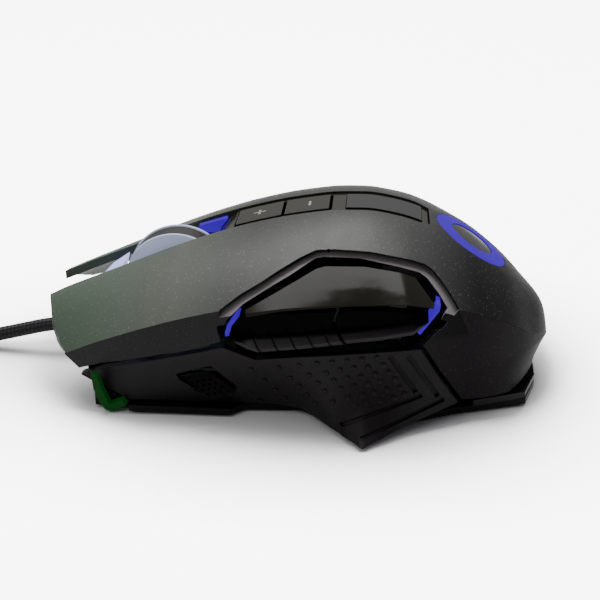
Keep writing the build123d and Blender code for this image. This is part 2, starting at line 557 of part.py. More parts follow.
# ---- wheel and its carrier ----
with BuildPart() as wheel_hub:
    with BuildSketch(Plane.XZ.offset(-wheel_w / 2)):
        with Locations((wheel_x, wheel_z)):
            Circle(wheel_r)
            Circle(axle_r, mode=Mode.SUBTRACT)
    extrude(amount=wheel_w)
    for s in (-1, 1):
        with BuildSketch(Plane.XZ.offset(-wheel_w / 2 if s > 0 else wheel_w / 2 - 1.6)):
            with Locations((wheel_x, wheel_z)):
                Circle(wheel_r - 2.6)
                Circle(4.0, mode=Mode.SUBTRACT)
        extrude(amount=1.6, mode=Mode.SUBTRACT)
    with BuildSketch(Plane.XZ.offset(-wheel_w / 2 + 0.8)):
        with Locations((wheel_x, wheel_z)):
            Circle(wheel_r + 1)
            Circle(wheel_r - 2.0, mode=Mode.SUBTRACT)
    extrude(amount=wheel_w - 1.6, mode=Mode.SUBTRACT)
save(wheel_hub.part, "wheel_hub")
with BuildPart() as wheel_tyre:
    with BuildSketch(Plane.XZ.offset(-wheel_w / 2 + 0.8)):
        with Locations((wheel_x, wheel_z)):
            Circle(wheel_r - 0.35)
            Circle(wheel_r - 2.0, mode=Mode.SUBTRACT)
    extrude(amount=wheel_w - 1.6)
save(wheel_tyre.part, "wheel_tyre")
with BuildPart() as wheel_axle:
    with BuildSketch(Plane.XZ.offset(-6.2)):
        with Locations((wheel_x, wheel_z)):
            Circle(axle_r)
    extrude(amount=16.2)
save(wheel_axle.part, "wheel_axle")

with BuildPart() as wheel_cradle:
    for y0 in (-6.6, 5.0):
        with BuildSketch(Plane.XZ.offset(-(y0 + 1.6))):
            Polygon((pivot_x + 2.2, pivot_z - 2.0), (pivot_x + 2.2, pivot_z + 2.4), (wheel_x + 3.0, wheel_z + 2.6), (wheel_x - 2.4, wheel_z + 2.6),
                    (wheel_x - 2.8, wheel_z - 2.4), (wheel_x + 4, wheel_z - 6.0), align=None)
        extrude(amount=1.6)
    with BuildSketch(Plane.XZ.offset(-6.6)):
        with Locations((pivot_x, pivot_z)):
            Rectangle(4.0, 4.0)
    extrude(amount=13.2)
    with BuildSketch(Plane.XZ.offset(-10.8)):
        with Locations((pivot_x, pivot_z)):
            Circle(1.0)
    extrude(amount=21.6)
    # click tab on the far arm
    with BuildSketch(Plane.XY.offset(10.95)):
        with Locations((-29.5, 8.4)):
            Rectangle(4.6, 5.4)
    extrude(amount=1.6)
    with BuildSketch(Plane.XY.offset(10.95)):
        with Locations((-29.5, 5.8)):
            Rectangle(4.6, 1.6)
    extrude(amount=8.0)
    with BuildSketch(Plane.XZ.offset(-8)):
        with Locations((wheel_x, wheel_z)):
            Circle(axle_r + 0.05)
    extrude(amount=16, mode=Mode.SUBTRACT)
save(biggest(wheel_cradle.part), "wheel_cradle")

with BuildPart() as wheel_encoder:
    with BuildSketch(Plane.XZ.offset(6.6)):
        with Locations((wheel_x, wheel_z)):
            Rectangle(8.4, 8.4)
            Circle(axle_r + 0.05, mode=Mode.SUBTRACT)
    extrude(amount=4.2)
save(wheel_encoder.part, "wheel_encoder")

with BuildPart() as wheel_light_guide:
    with BuildSketch(Plane.XZ.offset(-4.8)):
        Polygon((-47.8, 22.8), (-43.4, 25.9), (-44.15, 22.5), (-44.2, 18.5), (-45.6, 14.0), (-50, 14.0), (-50, 20.4), align=None)
    extrude(amount=9.6)
save(wheel_light_guide.part, "wheel_light_guide_front")
with BuildPart() as wheel_light_rear:
    with BuildSketch(Plane.XZ.offset(-6.5)):
        Polygon((-26.0, 31.5), (-20.3, 31.9), (-19.8, 33.3), (-18.3, 35.3), (-18.6, 35.6), (-25.5, 33.4), align=None)
    extrude(amount=2.0)
save(wheel_light_rear.part, "wheel_light_guide_rear")

# ---- boards and switches ----
with BuildPart() as main_pcb:
    with BuildSketch(Plane.XY.offset(pcb_z)):
        Polygon((-46, -22), (26.5, -22), (26.5, 22), (-46, 22), align=None)
        with Locations((pivot_x, -9.4), (pivot_x, 9.4)):
            Rectangle(5.4, 2.8, mode=Mode.SUBTRACT)
        with Locations((0, 0)):
            Rectangle(4.0, 3.0, mode=Mode.SUBTRACT)
    extrude(amount=pcb_t)
save(main_pcb.part, "main_pcb")
board = pcb_z + pcb_t


def box(x, y, z0, lx, ly, h):
    with BuildPart() as b:
        with BuildSketch(Plane.XY.offset(z0)):
            with Locations((x, y)):
                Rectangle(lx, ly)
        extrude(amount=h)
    return b.part


def switch(x, y, z0, lx, ly, h, wx, wy, depth):
    """Housing with an upright well for its plunger."""
    return box(x, y, z0, lx, ly, h) - box(x, y, z0 + h - depth, wx + 0.1, wy + 0.1, depth + 1)


for tag, sy in (("left", -16.0), ("right", 16.0)):
    save(switch(-38, sy, board, 12.8, 5.8, 6.5, 1.6, 2.8, 2.8), tag + "_switch")
    save(box(-38, sy, board + 6.5 - 2.1, 1.6, 2.8, 2.9), tag + "_switch_plunger")
save(switch(-29.5, 9.4, board, 6.0, 6.0, 3.4, 2.4, 2.4, 1.7), "middle_switch")
save(box(-29.5, 9.4, board + 3.4 - 1.1, 2.4, 2.4, 2.0), "middle_switch_plunger")

with BuildPart() as sensor_lens:
    with BuildSketch(Plane.XY.offset(floor_z + floor_t - 0.1)):
        Rectangle(15, 12)
    extrude(amount=pcb_z - floor_z - floor_t + 0.1)
    with BuildSketch(Plane.XY.offset(1.2)):
        Rectangle(9.4, 6.4)
    extrude(amount=2.0)
save(sensor_lens.part, "sensor_lens")
save(box(0, 0, board, 16, 9.2, 2.6), "sensor_chip")
save(box(-22, -16.5, board, 7, 7, 1.0), "controller_chip")
save(box(-43.6, 7.0, board, 4.0, 8.0, 3.6), "cable_connector")

# light-emitting diodes on the main board
leds = box(-13.0, -17.0, board, 3.0, 3.0, 1.4) + box(24.0, 0, board, 3.0, 3.0, 1.4) + box(-44.3, -10.5, board, 2.6, 2.6, 1.4) + box(-44.3, 20.6, board, 2.6, 2.6, 1.4)
save(leds, "light_diodes")
save(Part() + [Solid.make_cylinder(2.0, 1.2, Plane((x, y, board))) for x, y in ((24.0, -18.0), (24.0, 18.0))], "board_screws")

# thumb button board, upright behind the panel
with BuildPart() as side_pcb:
    with BuildSketch(Plane.XZ.offset(21.4)):
        Polygon((-8, 19), (26, 19), (26, 29), (-8, 29), align=None)
    extrude(amount=1.2)
save(side_pcb.part, "side_pcb")


def side_switch(x, z):
    """Housing facing -Y with a well for its plunger."""
    body = Part() + Solid.make_box(6, 2.6, 5, Plane((x - 3, -25.2, z - 2.5)))
    return body - (Part() + Solid.make_box(2.5, 1.6, 2.5, Plane((x - 1.25, -25.2, z - 1.25))))


for tag, sx, sz in (("front", -1.0, 24.0), ("rear", 19.0, 25.5)):
    save(side_switch(sx, sz), "side_switch_" + tag)
    save(Part() + Solid.make_box(2.4, 2.2, 2.4, Plane((sx - 1.2, -26.5, sz - 1.2))), "side_switch_" + tag + "_plunger")

# board under the spine keys
save(box(-4.0, 0, 30.0, 24.0, 12.8, 1.2), "dpi_pcb")
for tag, sx in (("up", -9.8), ("down", 2.2)):
    save(switch(sx, 0, 31.2, 6.0, 6.0, 3.4, 2.4, 2.4, 1.6), "dpi_switch_" + tag)
    save(box(sx, 0, 33.6, 2.4, 2.4, 1.85), "dpi_switch_" + tag + "_plunger")

# ---- cable ----
tan_y = coil_c[1] + coil_r_out - cable_d / 2
route = [(-46.5, 0.0, 8.4), (-55.0, 0.0, 8.3), (-64.2, 0.0, 7.5), (-73.5, 0.3, 5.0), (-83.0, 0.9, 2.5), (-93.5, 1.5, 1.95), (-103.5, 1.7, 2.3), (coil_c[0], tan_y, 2.75)]


def corner_radii(pts):
    radii = []
    for a, b, c in zip(pts, pts[1:], pts[2:]):
        p, q = Vector(*b) - Vector(*a), Vector(*c) - Vector(*b)
        turn = math.radians(p.get_angle(q))
        radii.append(0.45 * min(p.length, q.length) / math.tan(max(turn, 1e-3) / 2))
    return radii


radii = corner_radii(route)
print("corner radii", [round(r, 1) for r in radii], "runs", [round((Vector(*b) - Vector(*a)).length, 1) for a, b in zip(route, route[1:])])
with BuildPart() as cable_tube:
    with BuildLine() as path:
        FilletPolyline(*route, radius=radii)
    start = path.line @ 0
    tangent = path.line % 0
    with BuildSketch(Plane(origin=start, z_dir=tangent)):
        Circle(cable_d / 2)
    sweep(path=path.line)
tube_length = sum(e.length for e in path.edges())
print("tube length", round(tube_length, 2), "volume ratio", round(cable_tube.part.volume / (math.pi * cable_d**2 / 4 * tube_length), 4))
save(cable_tube.part, "cable_tube")

with BuildPart() as strain_relief:
    with BuildSketch(Plane.YZ.offset(-52.4)):
        with Locations((0, 8.35)):
            Circle(2.9)
    extrude(amount=4.6)
    with BuildSketch(Plane.YZ.offset(-54.8)):
        with Locations((0, 8.3)):
            Circle(2.4)
    extrude(amount=2.6)
    add(cable_tube.part, mode=Mode.SUBTRACT)
save(biggest(strain_relief.part), "strain_relief")

coil_low, coil_high = coil_z, coil_z + coil_h
flat_in, flat_out = coil_r_in + 0.05, coil_r_out - 0.35
with BuildPart() as cable_coil:
    with BuildSketch(Plane.XY.offset(coil_low)):
        with Locations(coil_c):
            Circle(coil_r_out)
            Circle(coil_r_in, mode=Mode.SUBTRACT)
    extrude(amount=coil_h)
    # flats where the two ends of the cable run into the coil
    with BuildSketch(Plane.XY):
        with Locations((coil_c[0] + 15, tan_y + 8.15)):
            Rectangle(30, 20)
    extrude(amount=coil_low + cable_d + 0.1, mode=Mode.SUBTRACT)
    with BuildSketch(Plane.XY.offset(coil_high - cable_d - 1.2)):
        with Locations((coil_c[0] - 15, tan_y + 8.15)):
            Rectangle(30, 20)
    extrude(amount=10, mode=Mode.SUBTRACT)
    # flats under the tie
    with BuildSketch(Plane.XZ.offset(-(coil_c[1] + 3.0))):
        with Locations((coil_c[0] + flat_out + 2, coil_low + coil_h / 2)):
            Rectangle(4, coil_h + 4)
        with Locations((coil_c[0] + flat_in - 2, coil_low + coil_h / 2)):
            Rectangle(4, coil_h + 4)
    extrude(amount=6.0, mode=Mode.SUBTRACT)
save(biggest(cable_coil.part), "cable_coil")

with BuildPart() as coil_tie:
    with BuildSketch(Plane.XZ.offset(-(coil_c[1] + 3.0))):
        with Locations((coil_c[0] + (flat_in + flat_out) / 2, coil_low + coil_h / 2)):
            Rectangle(flat_out - flat_in + 2.0, coil_h + 2.0)
            Rectangle(flat_out - flat_in, coil_h, mode=Mode.SUBTRACT)
    extrude(amount=6.0)
save(coil_tie.part, "coil_tie")

# the last stretch down to the plug, which lies on the desk beside the coil
tail = [(coil_c[0], tan_y, coil_high - cable_d / 2), (coil_c[0] - 11.5, tan_y, 12.5), (coil_c[0] - 26.5, tan_y, 4.3), (coil_c[0] - 37, tan_y, 4.2)]
tail_radii = corner_radii(tail)
print("lead radii", [round(r, 1) for r in tail_radii])
with BuildPart() as cable_lead:
    with BuildLine() as tail_path:
        FilletPolyline(*tail, radius=tail_radii)
    with BuildSketch(Plane(origin=tail_path.line @ 0, z_dir=tail_path.line % 0)):
        Circle(cable_d / 2)
    sweep(path=tail_path.line)
print("lead length", round(sum(e.length for e in tail_path.edges()), 2))
save(cable_lead.part, "cable_lead")
plug_x = coil_c[0] - 37.0
with BuildPart() as usb_plug_body:
    with BuildSketch(Plane.YZ.offset(plug_x - 32)):
        with Locations((tan_y, 4.2)):
            RectangleRounded(15.6, 8.2, 1.5)
    extrude(amount=24)
    with BuildSketch(Plane.YZ.offset(plug_x - 8)):
        with Locations((tan_y, 4.2)):
            Circle(2.6)
    extrude(amount=8)
save(usb_plug_body.part, "usb_plug_body")
with BuildPart() as usb_plug_shell:
    with BuildSketch(Plane.YZ.offset(plug_x - 32 - 12)):
        with Locations((tan_y, 4.2)):
            Rectangle(12.0, 4.5)
            Rectangle(11.2, 3.7, mode=Mode.SUBTRACT)
    extrude(amount=12)
    with BuildSketch(Plane.YZ.offset(plug_x - 32 - 11.6)):
        with Locations((tan_y, 3.4)):
            Rectangle(11.2, 1.9)
    extrude(amount=11.6)
save(usb_plug_shell.part, "usb_plug_shell")

print(len(NODES), "nodes")
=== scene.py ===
import bpy
import bmesh
import json
import math
from mathutils import Vector, Matrix
from mathutils.bvhtree import BVHTree


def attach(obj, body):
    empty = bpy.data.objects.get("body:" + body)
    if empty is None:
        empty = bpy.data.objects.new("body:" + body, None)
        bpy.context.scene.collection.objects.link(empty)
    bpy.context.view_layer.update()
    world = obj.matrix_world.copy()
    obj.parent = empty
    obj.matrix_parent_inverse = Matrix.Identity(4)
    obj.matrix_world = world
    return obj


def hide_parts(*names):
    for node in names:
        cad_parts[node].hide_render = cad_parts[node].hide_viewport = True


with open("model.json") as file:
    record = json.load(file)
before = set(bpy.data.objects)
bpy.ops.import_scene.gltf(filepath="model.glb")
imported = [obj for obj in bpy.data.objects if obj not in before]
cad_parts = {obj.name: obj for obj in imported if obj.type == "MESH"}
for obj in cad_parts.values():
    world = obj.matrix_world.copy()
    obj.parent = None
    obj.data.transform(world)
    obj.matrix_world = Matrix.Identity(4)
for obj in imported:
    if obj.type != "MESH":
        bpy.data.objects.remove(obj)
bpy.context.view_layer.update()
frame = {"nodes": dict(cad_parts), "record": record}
NODES = frame["nodes"]
MM = 0.001


def v(x, y, z):
    return Vector((x * MM, y * MM, z * MM))


# ---------------------------------------------------------------- camera
ELEV, YAW = math.radians(23.5), math.radians(4.0)
look = Vector((-math.sin(YAW) * math.cos(ELEV), math.cos(YAW) * math.cos(ELEV), -math.sin(ELEV)))
cam_data = bpy.data.cameras.new("camera")
cam_data.sensor_width = 36.0
cam_data.lens = 72.0
cam_data.clip_start, cam_data.clip_end = 0.01, 20.0
cam = bpy.data.objects.new("camera", cam_data)
bpy.context.scene.collection.objects.link(cam)
cam.location = v(0, 0, 16) - look * 0.300
cam.rotation_mode = "QUATERNION"
cam.rotation_quaternion = look.to_track_quat("-Z", "Y")
bpy.context.scene.camera = cam


WORLD, NEAR_SIDE, BACKDROP, FLOOR_LIFT = 1.35, 0.12, 7.0, 6.4
KEY, FILL = 11.0, 1.3

# ---------------------------------------------------------------- helpers
def link(o):
    bpy.context.scene.collection.objects.link(o)
    return o


def mesh_object(name, verts, faces, smooth=True):
    m = bpy.data.meshes.new(name)
    m.from_pydata([tuple(p) for p in verts], [], faces)
    m.validate()
    bm = bmesh.new()
    bm.from_mesh(m)
    bmesh.ops.recalc_face_normals(bm, faces=bm.faces)
    bm.to_mesh(m)
    bm.free()
    for p in m.polygons:
        p.use_smooth = smooth
    return link(bpy.data.objects.new(name, m))


# ---------------------------------------------------------------- cable
D = 3.5
R_MID = 21.0
CX, CY, CZ = -113.0, 1.75 - R_MID - D, 1.0
ROUTE = [(-46.5, 0.0, 8.4), (-55.0, 0.0, 8.3), (-64.2, 0.0, 7.5), (-73.5, 0.3, 5.0), (-83.0, 0.9, 2.5), (-93.5, 1.5, 1.95), (-103.5, 1.7, 2.3)]
TAIL = [(CX - 11.5, 1.75, 12.5), (CX - 26.5, 1.75, 4.3), (CX - 37, 1.75, 4.2)]
PER_TURN = 16
turns = []
order = [1, 0, -1]
for i in range(12):
    layer, k = divmod(i, 3)
    nxt_layer, nk = divmod(i + 1, 3)
    col = order[k] if layer % 2 == 0 else order[2 - k]
    ncol = order[nk] if nxt_layer % 2 == 0 else order[2 - nk]
    if i == 11:
        ncol, nxt_layer = col, layer
    for j in range(PER_TURN):
        f = j / PER_TURN
        s = max(0.0, (f - 0.70) / 0.30)
        s = s * s * (3 - 2 * s)
        r = R_MID + D * (col + (ncol - col) * s)
        z = CZ + D * (0.5 + layer + (nxt_layer - layer) * s)
        a = math.pi / 2 + 2 * math.pi * f
        turns.append((CX + r * math.cos(a), CY + r * math.sin(a), z))
turns.append((CX, CY + R_MID + D, CZ + D * 3.5))
points = ROUTE + turns + TAIL
curve = bpy.data.curves.new("cable", "CURVE")
curve.dimensions = "3D"
spline = curve.splines.new("NURBS")
spline.points.add(len(points) - 1)
for p, q in zip(spline.points, points):
    p.co = (q[0] * MM, q[1] * MM, q[2] * MM, 1.0)
    p.radius = D / 2 * MM
spline.order_u = 3
spline.use_endpoint_u = True
spline.resolution_u = 6
curve.bevel_depth = 1.0
curve.bevel_resolution = 5
curve.use_fill_caps = True
cable = link(bpy.data.objects.new("cable", curve))
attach(cable, "case")
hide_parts("cable_tube", "cable_coil", "cable_lead")


def total(pts):
    return sum((Vector(b) - Vector(a)).length for a, b in zip(pts, pts[1:])) * MM


# ---------------------------------------------------------------- materials
def new_mat(name):
    m = bpy.data.materials.new(name)
    m.use_nodes = True
    nt = m.node_tree
    for n in list(nt.nodes):
        nt.nodes.remove(n)
    out = nt.nodes.new("ShaderNodeOutputMaterial")
    b = nt.nodes.new("ShaderNodeBsdfPrincipled")
    nt.links.new(b.outputs[0], out.inputs[0])
    return m, nt, b


def plastic(name, colour, rough, vary=0.08, scale=400.0, bump=0.0, bump_scale=3000.0, coat=0.0, bevel=0.0, spec=0.5, metallic=0.0):
    """Moulded plastic: slight unevenness of tone and roughness, fine grain, softened edges."""
    m, nt, b = new_mat(name)
    tc = nt.nodes.new("ShaderNodeTexCoord")
    n = nt.nodes.new("ShaderNodeTexNoise")
    n.inputs["Scale"].default_value = scale
    n.inputs["Detail"].default_value = 3.0
    nt.links.new(tc.outputs["Object"], n.inputs["Vector"])
    ramp = nt.nodes.new("ShaderNodeMapRange")
    ramp.inputs["To Min"].default_value = 1.0 - vary
    ramp.inputs["To Max"].default_value = 1.0 + vary
    nt.links.new(n.outputs["Fac"], ramp.inputs["Value"])
    mul = nt.nodes.new("ShaderNodeVectorMath")
    mul.operation = "SCALE"
    mul.inputs[0].default_value = colour
    nt.links.new(ramp.outputs["Result"], mul.inputs["Scale"])
    nt.links.new(mul.outputs["Vector"], b.inputs["Base Color"])
    rr = nt.nodes.new("ShaderNodeMapRange")
    rr.inputs["To Min"].default_value = max(0.02, rough - 0.05)
    rr.inputs["To Max"].default_value = rough + 0.05
    nt.links.new(n.outputs["Fac"], rr.inputs["Value"])
    nt.links.new(rr.outputs["Result"], b.inputs["Roughness"])
    b.inputs["Specular IOR Level"].default_value = spec
    b.inputs["Coat Weight"].default_value = coat
    b.inputs["Coat Roughness"].default_value = 0.06
    b.inputs["Metallic"].default_value = metallic
    last = None
    if bevel:
        bv = nt.nodes.new("ShaderNodeBevel")
        bv.samples = 4
        bv.inputs["Radius"].default_value = bevel * MM
        last = bv.outputs["Normal"]
    if bump:
        g = nt.nodes.new("ShaderNodeTexNoise")
        g.inputs["Scale"].default_value = bump_scale
        g.inputs["Detail"].default_value = 2.0
        nt.links.new(tc.outputs["Object"], g.inputs["Vector"])
        bp = nt.nodes.new("ShaderNodeBump")
        bp.inputs["Strength"].default_value = bump
        bp.inputs["Distance"].default_value = 0.00005
        nt.links.new(g.outputs["Fac"], bp.inputs["Height"])
        if last is not None:
            nt.links.new(last, bp.inputs["Normal"])
        last = bp.outputs["Normal"]
    if last is not None:
        nt.links.new(last, b.inputs["Normal"])
    return m, nt, b, tc


def glow(name, colour, strength, rough=0.3, base=None, spec=0.12):
    """Frosted light guide lit from inside, a little uneven."""
    m, nt, b = new_mat(name)
    tc = nt.nodes.new("ShaderNodeTexCoord")
    n = nt.nodes.new("ShaderNodeTexNoise")
    n.inputs["Scale"].default_value = 250.0
    nt.links.new(tc.outputs["Object"], n.inputs["Vector"])
    mr = nt.nodes.new("ShaderNodeMapRange")
    mr.inputs["To Min"].default_value = strength * 0.8
    mr.inputs["To Max"].default_value = strength * 1.2
    nt.links.new(n.outputs["Fac"], mr.inputs["Value"])
    b.inputs["Base Color"].default_value = (*(base or colour), 1)
    b.inputs["Roughness"].default_value = rough
    b.inputs["Specular IOR Level"].default_value = spec
    b.inputs["Emission Color"].default_value = (*colour, 1)
    nt.links.new(mr.outputs["Result"], b.inputs["Emission Strength"])
    return m


# light metallic grey of the cover, fading to dark towards the palm, with painted shade down the flanks
def math_node(nt, op, a, b=None, clamp=False):
    n = nt.nodes.new("ShaderNodeMath")
    n.operation = op
    n.use_clamp = clamp
    for k, val in enumerate((a, b)):
        if val is None:
            continue
        if hasattr(val, "links"):
            nt.links.new(val, n.inputs[k])
        else:
            n.inputs[k].default_value = val
    return n.outputs[0]


def map_range(nt, value, lo, hi, to_lo=0.0, to_hi=1.0, smooth=False):
    n = nt.nodes.new("ShaderNodeMapRange")
    if smooth:
        n.interpolation_type = "SMOOTHSTEP"
    n.inputs["From Min"].default_value = lo
    n.inputs["From Max"].default_value = hi
    n.inputs["To Min"].default_value = to_lo
    n.inputs["To Max"].default_value = to_hi
    nt.links.new(value, n.inputs["Value"])
    return n.outputs["Result"]


def mix_colour(nt, factor, a, b):
    n = nt.nodes.new("ShaderNodeMix")
    n.data_type = "RGBA"
    nt.links.new(factor, n.inputs["Factor"])
    for key, val in (("A", a), ("B", b)):
        if hasattr(val, "links"):
            nt.links.new(val, n.inputs[key])
        else:
            n.inputs[key].default_value = (*val, 1)
    return n.outputs["Result"]


RIM = [(-15.4, -33.9, 27.8), (-11.1, -31.6, 30.6), (-6.8, -29.8, 32.8), (-2.6, -27.2, 35.0), (1.7, -24.6, 37.0),
       (5.2, -22.8, 38.2), (8.4, -22.9, 38.6), (17.3, -23.5, 38.4), (26.3, -23.5, 36.8), (29.7, -23.2, 35.7),
       (31.5, -23.8, 34.6), (33.1, -25.5, 33.2), (35.3, -28.2, 31.0), (37.3, -31.1, 28.4)]
E0, A0 = math.radians(23.5), math.radians(4.0)
OUT = Vector((math.sin(A0) * math.cos(E0), -math.cos(A0) * math.cos(E0), math.sin(E0)))
RIGHT = Vector((math.cos(A0), math.sin(A0), 0.0))
UP = OUT.cross(RIGHT)


def recess_mask(nt, position):
    """1 inside the rim of the thumb recess, seen square to it, 0 outside."""
    def dot(vec):
        n = nt.nodes.new("ShaderNodeVectorMath")
        n.operation = "DOT_PRODUCT"
        nt.links.new(position, n.inputs[0])
        n.inputs[1].default_value = vec
        return n.outputs["Value"]

    pts = [(Vector(p).dot(RIGHT), Vector(p).dot(UP)) for p in RIM]
    res = None
    for (ax, ay), (bx, by) in zip(pts, pts[1:]):
        n2 = Vector((by - ay, -(bx - ax))).normalized()
        edge = RIGHT * n2.x + UP * n2.y
        limit = (n2.x * ax + n2.y * ay + 0.12) * MM
        inside = map_range(nt, dot(edge), limit - 0.00006, limit + 0.00006, 0.0, 1.0)
        res = inside if res is None else math_node(nt, "MINIMUM", res, inside)
    thumb = map_range(nt, dot(Vector((0, 1, 0))), -0.0205, -0.0215, 0.0, 1.0)
    high = map_range(nt, dot(Vector((0, 0, 1))), 0.0215, 0.0225, 0.0, 1.0)
    return math_node(nt, "MULTIPLY", res, math_node(nt, "MULTIPLY", thumb, high))


def cover_material():
    m, nt, b, tc = plastic("cover_finish", (0.1, 0.1, 0.1), 0.42, vary=0.06, scale=300, bump=0.15, bump_scale=5000, bevel=0.25, spec=0.2)
    mul = [n for n in nt.nodes if n.type == "VECT_MATH"][0]
    sep = nt.nodes.new("ShaderNodeSeparateXYZ")
    nt.links.new(tc.outputs["Object"], sep.inputs[0])
    # edges are softened everywhere but along the hinge line
    off_line = math_node(nt, "ABSOLUTE", math_node(nt, "SUBTRACT", sep.outputs["X"], 0.008))
    softened = [n for n in nt.nodes if n.type == "BEVEL"][0]
    nt.links.new(map_range(nt, off_line, 0.0008, 0.0014, 0.000001, 0.00025), softened.inputs["Radius"])
    fade = nt.nodes.new("ShaderNodeValToRGB")
    el = fade.color_ramp.elements
    nt.links.new(map_range(nt, sep.outputs["X"], -0.062, 0.062), fade.inputs["Fac"])
    stops = SHELL_STOPS
    el[0].position, el[0].color = stops[0][0], (*stops[0][1], 1)
    el[1].position, el[1].color = stops[-1][0], (*stops[-1][1], 1)
    for pos, col in stops[1:-1]:
        e = el.new(pos)
        e.color = (*col, 1)
    nt.links.new(map_range(nt, sep.outputs["X"], 0.010, 0.040, 0.2, 0.06), b.inputs["Specular IOR Level"])
    # metallic flecks
    vor = nt.nodes.new("ShaderNodeTexVoronoi")
    vor.inputs["Scale"].default_value = 2600.0
    nt.links.new(tc.outputs["Object"], vor.inputs["Vector"])
    spot = map_range(nt, vor.outputs["Distance"], 0.34, 0.16)
    pick = nt.nodes.new("ShaderNodeSeparateColor")
    nt.links.new(vor.outputs["Color"], pick.inputs[0])
    rare = math_node(nt, "GREATER_THAN", pick.outputs[0], 0.86)
    level = map_range(nt, pick.outputs[1], 0.0, 1.0, 0.35, 1.0)
    fleck = math_node(nt, "MULTIPLY", math_node(nt, "MULTIPLY", spot, rare), level)
    speckled = mix_colour(nt, math_node(nt, "MULTIPLY", fleck, 0.32), fade.outputs["Color"], (0.5, 0.5, 0.46))
    # painted shade on surfaces that face sideways rather than up: the outward flanks, and all such faces towards the
    # rear
    sn = nt.nodes.new("ShaderNodeSeparateXYZ")
    nt.links.new(tc.outputs["Normal"], sn.inputs[0])
    up = map_range(nt, sn.outputs["Z"], 0.22, 0.60, smooth=True)
    outward = math_node(nt, "GREATER_THAN", math_node(nt, "MULTIPLY", sn.outputs["Y"], sep.outputs["Y"]), 0.0)
    rear = math_node(nt, "GREATER_THAN", sep.outputs["X"], 0.036)
    side = math_node(nt, "MULTIPLY", math_node(nt, "SUBTRACT", 1.0, up), math_node(nt, "MAXIMUM", outward, rear))
    low = mix_colour(nt, map_range(nt, sep.outputs["X"], 0.020, 0.040), FRONT_SIDE_SHADE, REAR_SIDE_SHADE)
    flank = mix_colour(nt, math_node(nt, "MULTIPLY", fleck, 0.12), low, (0.4, 0.4, 0.4))
    shaded = mix_colour(nt, side, speckled, flank)
    # inside the thumb recess: painted shade on walls facing sideways, painted sheen on the ledge facing up
    ledge_sheen_mask = map_range(nt, sn.outputs["Z"], 0.05, 0.30, smooth=True)
    inner = mix_colour(nt, ledge_sheen_mask, (0.0012, 0.0010, 0.0012), BEVEL)
    final = mix_colour(nt, recess_mask(nt, tc.outputs["Object"]), shaded, inner)
    for lk in list(nt.links):
        if lk.to_node == mul and lk.to_socket == mul.inputs[0]:
            nt.links.remove(lk)
    nt.links.new(final, mul.inputs[0])
    return m


SHELL_STOPS = [(0.0, (0.033, 0.052, 0.034)), (0.12, (0.041, 0.060, 0.042)), (0.28, (0.054, 0.059, 0.048)), (0.42, (0.0165, 0.018, 0.0153)),
               (0.6, (0.022, 0.023, 0.0195)), (0.74, (0.026, 0.0255, 0.0255)), (0.84, (0.0035, 0.0030, 0.0038)), (1.0, (0.002, 0.0015, 0.0024))]
# painted shade colours for the front and rear flanks
FRONT_SIDE_SHADE = (0.0026, 0.0016, 0.0023)
REAR_SIDE_SHADE = (0.0075, 0.0056, 0.0070)
# painted sheen of the ledge inside the thumb recess
BEVEL = (0.14, 0.124, 0.129)


MATS = {}
MATS["cover"] = cover_material()
MATS["soft_black"] = plastic("soft_black", (0.0042, 0.0024, 0.0036), 0.5, vary=0.1, bump=0.25, bump_scale=6000, bevel=0.2, spec=0.2)[0]
MATS["gloss_black"] = plastic("gloss_black", (0.004, 0.0035, 0.004), 0.12, vary=0.05, bevel=0.2, spec=0.25)[0]
MATS["gloss_bronze"] = plastic("gloss_bronze", (0.012, 0.011, 0.0065), 0.14, vary=0.04, bevel=0.2, spec=0.14)[0]
MATS["case_black"] = plastic("case_black", (0.004, 0.0026, 0.0032), 0.24, vary=0.08, bevel=0.2, spec=0.12)[0]
MATS["light_blue"] = glow("light_blue", (0.10, 0.0, 1.0), 0.46, rough=0.7, base=(0.006, 0.0, 0.06))
MATS["light_green"] = glow("light_green", (0.0, 0.045, 0.003), 0.6, rough=0.7, base=(0.001, 0.015, 0.002))
MATS["light_clear"] = glow("light_clear", (0.42, 0.42, 1.0), 0.9, base=(0.3, 0.32, 0.5))
MATS["hub"] = glow("hub", (0.20, 0.22, 0.33), 1.15, base=(0.30, 0.33, 0.40))
MATS["rubber"] = plastic("rubber", (0.012, 0.0115, 0.0095), 0.5, vary=0.15, bump=0.3, spec=0.2)[0]
MATS["print"] = plastic("print", (0.16, 0.16, 0.15), 0.5, vary=0.05)[0]
MATS["ptfe"] = plastic("ptfe", (0.55, 0.55, 0.53), 0.4)[0]
MATS["steel"] = plastic("steel", (0.45, 0.45, 0.46), 0.3, metallic=1.0)[0]
MATS["nickel"] = plastic("nickel", (0.7, 0.7, 0.7), 0.15, metallic=1.0)[0]
MATS["board"] = plastic("board", (0.01, 0.06, 0.02), 0.4)[0]
MATS["chip"] = plastic("chip", (0.015, 0.015, 0.015), 0.5)[0]
MATS["switch_body"] = plastic("switch_body", (0.03, 0.03, 0.032), 0.45)[0]
MATS["plunger"] = plastic("plunger", (0.55, 0.5, 0.38), 0.45)[0]
MATS["cream"] = plastic("cream", (0.7, 0.67, 0.58), 0.45)[0]
MATS["lens"] = plastic("lens", (0.5, 0.5, 0.5), 0.05)[0]


